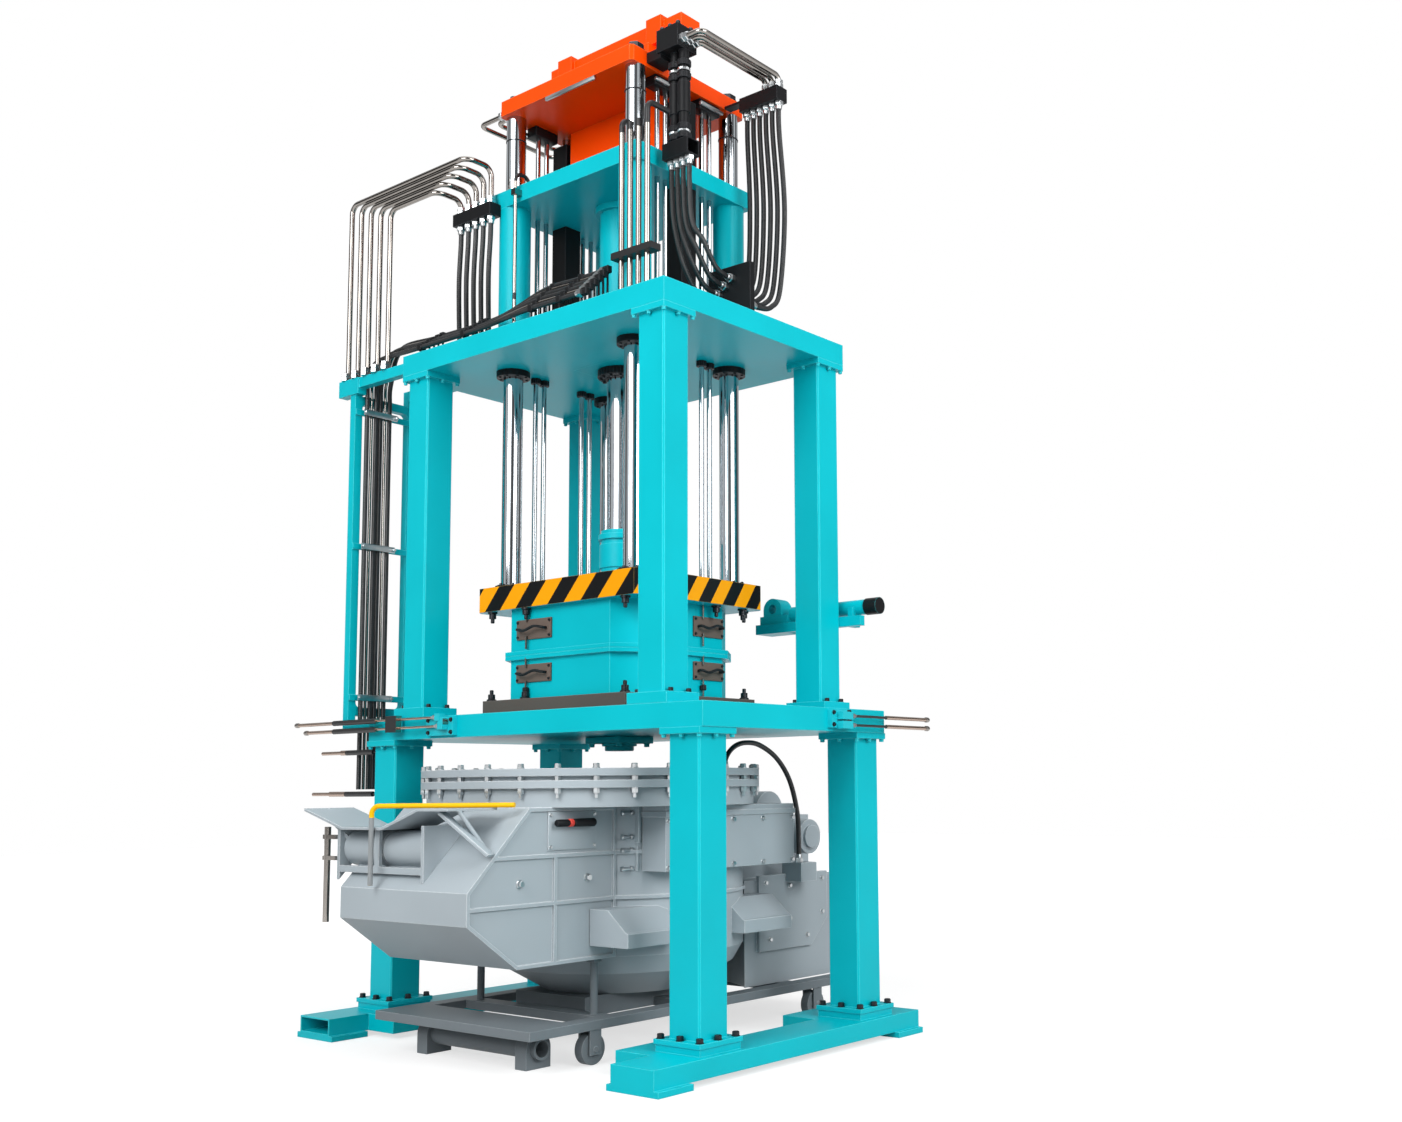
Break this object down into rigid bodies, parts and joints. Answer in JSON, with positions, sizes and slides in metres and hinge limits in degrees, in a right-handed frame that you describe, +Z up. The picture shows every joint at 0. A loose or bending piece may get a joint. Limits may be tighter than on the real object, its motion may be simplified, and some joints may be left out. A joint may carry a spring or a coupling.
{
  "type": "low pressure die casting press",
  "caption": "Tall hydraulic press with a closed die under a striped moving platen on guide columns, an orange crosshead on top and a holding furnace on a carriage below the fixed platen.",
  "frame": {"origin": "on the floor, under the middle of the whole outline", "axes": "+X along the front from left to right, +Y from front to back, +Z up"},
  "size_m": [3.745, 3.253, 6.364],
  "materials": {
    "cyan_paint": "satin",
    "orange_paint": "satin",
    "amber_paint": "satin with black hazard stripes",
    "yellow_paint": "satin",
    "grey_paint": "satin",
    "dark_grey_paint": "matt",
    "black_paint": "satin",
    "brown_iron": "machined",
    "bright_steel": "polished",
    "rubber": "satin"
  },
  "bodies": {
    "press_frame": {"left_base_beam": "cyan_paint", "right_base_beam": "cyan_paint", "front_left_lower_column": "cyan_paint", "front_right_lower_column": "cyan_paint", "back_left_lower_column": "cyan_paint", "back_right_lower_column": "cyan_paint", "fixed_platen": "cyan_paint", "front_left_upper_column": "cyan_paint", "front_right_upper_column": "cyan_paint", "back_left_upper_column": "cyan_paint", "back_right_upper_column": "cyan_paint", "top_platen": "cyan_paint", "guide_bushes": "black_paint", "guide_sleeves": "cyan_paint", "cylinder_plate": "cyan_paint", "main_cylinder": "cyan_paint", "lift_cylinders": "black_paint", "hose_frame": "cyan_paint", "frame_hoses": "rubber", "rising_pipes": "bright_steel", "left_manifold": "black_paint", "drop_hoses": "rubber", "corner_pipes": "bright_steel", "front_tubes": "bright_steel", "side_tubes": "bright_steel", "side_cylinder": "cyan_paint", "die_base_plate": "brown_iron", "lower_die": "cyan_paint", "riser_neck": "cyan_paint", "furnace_vessel": "grey_paint", "furnace_rings": "grey_paint", "furnace_tail": "grey_paint", "furnace_side_cover": "grey_paint", "charging_cover": "grey_paint", "level_probe": "bright_steel", "cover_handle": "yellow_paint", "furnace_hose": "rubber", "carriage": "dark_grey_paint", "carriage_wheels": "dark_grey_paint", "roller": "dark_grey_paint", "roller_saddles": "dark_grey_paint", "hose_bracket": "black_paint"},
    "moving_frame": {"moving_platen": "amber_paint", "upper_die": "cyan_paint", "guide_columns": "bright_steel", "column_flanges": "black_paint", "crosshead_plate": "orange_paint", "crosshead_beam": "orange_paint", "piston_rod": "bright_steel", "rod_coupling": "cyan_paint", "lift_rods": "bright_steel", "tie_rods": "bright_steel", "loop_manifold": "black_paint", "manifold_pipes": "bright_steel", "valve_stack": "black_paint", "loop_hoses": "rubber", "centre_hoses": "rubber"}
  },
  "joints": [
    {"name": "platen_lift", "type": "slide", "parent": "press_frame", "child": "moving_frame", "axis": [0, 0, 1], "range_m": [0, 0.9], "deforming": ["loop_hoses", "centre_hoses"]}
  ]
}
